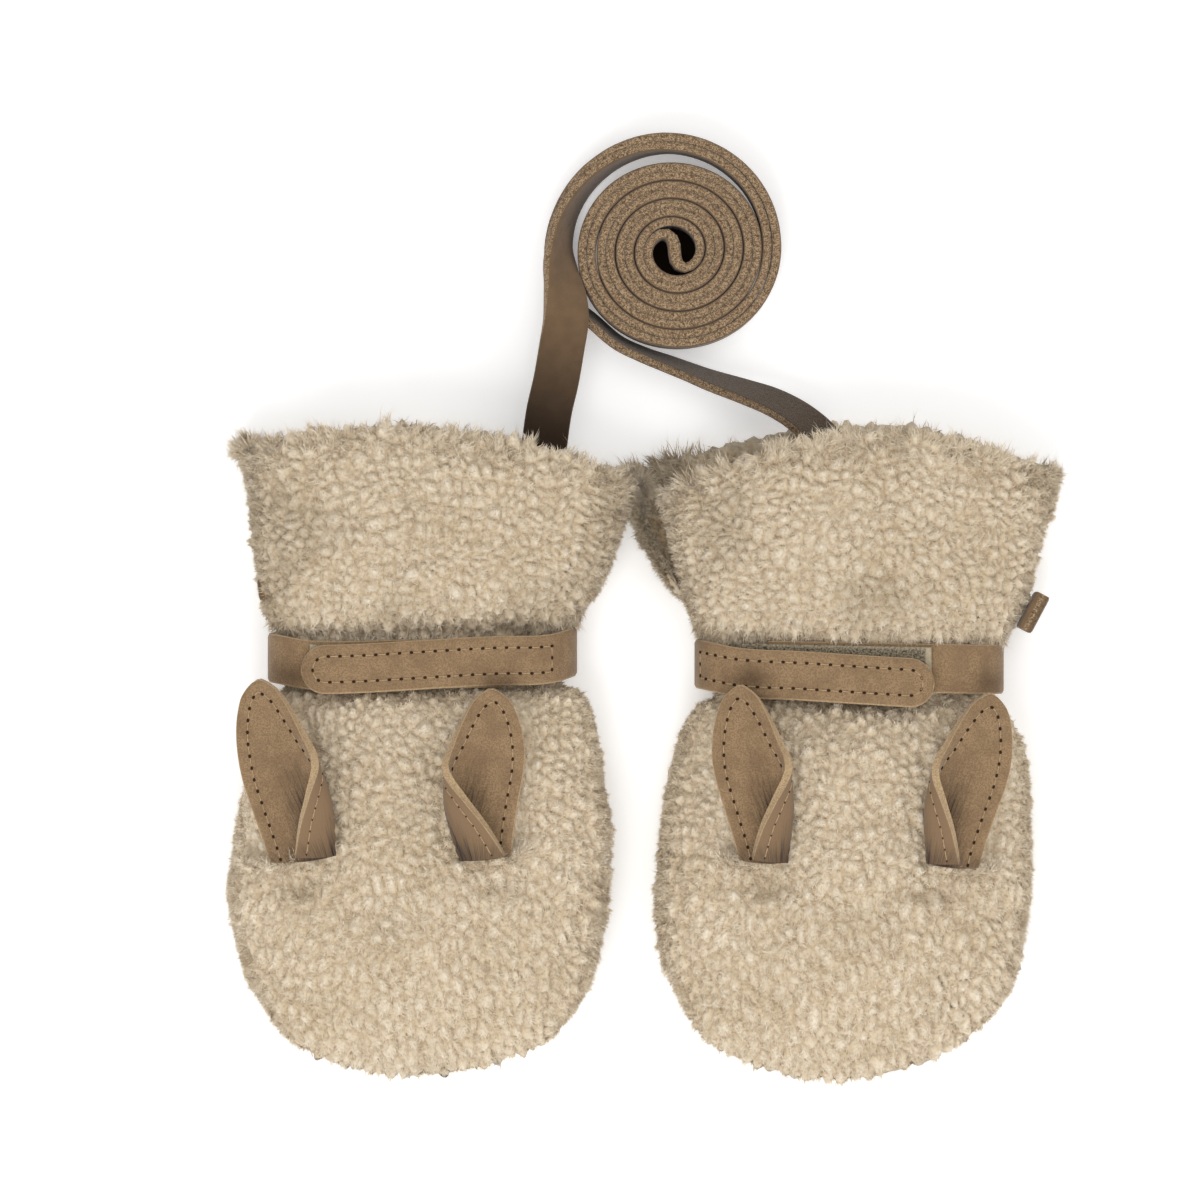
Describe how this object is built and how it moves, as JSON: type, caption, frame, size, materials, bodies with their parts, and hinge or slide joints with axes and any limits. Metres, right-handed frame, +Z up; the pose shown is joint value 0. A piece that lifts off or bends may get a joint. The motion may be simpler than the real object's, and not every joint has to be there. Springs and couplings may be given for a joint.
{
  "type": "pair of baby mittens laid flat",
  "caption": "Baby mittens in shearling laid flat, with leather bunny ears, hook-and-loop wrist straps and a coiled leather joining strap.",
  "frame": {"origin": "on the surface that the mittens lie on, under the middle of the whole pair with its coil", "axes": "+X from the left mitten to the right one, +Y from the finger ends to the cuffs and the coil, +Z up from the surface"},
  "size_m": [0.1934, 0.2206, 0.036],
  "materials": {
    "fleece": "curly cream shearling pile, matte",
    "leather": "matte tan nubuck",
    "suede": "fibrous cut edge of a tan leather strap",
    "closure_tape": "grey hook-and-loop tape"
  },
  "bodies": {
    "root": {"left_front_panel": "fleece", "left_back_panel": "fleece", "left_wrist_strap": "leather", "left_closure_tape": "closure_tape", "left_mitten_left_ear": "leather", "left_mitten_right_ear": "leather", "left_side_tab": "leather", "right_front_panel": "fleece", "right_back_panel": "fleece", "right_wrist_strap": "leather", "right_closure_tape": "closure_tape", "right_mitten_left_ear": "leather", "right_mitten_right_ear": "leather", "right_side_tab": "leather", "joining_strap_coil": "suede", "joining_strap_left_run": "suede", "joining_strap_right_run": "suede"}
  },
  "joints": []
}
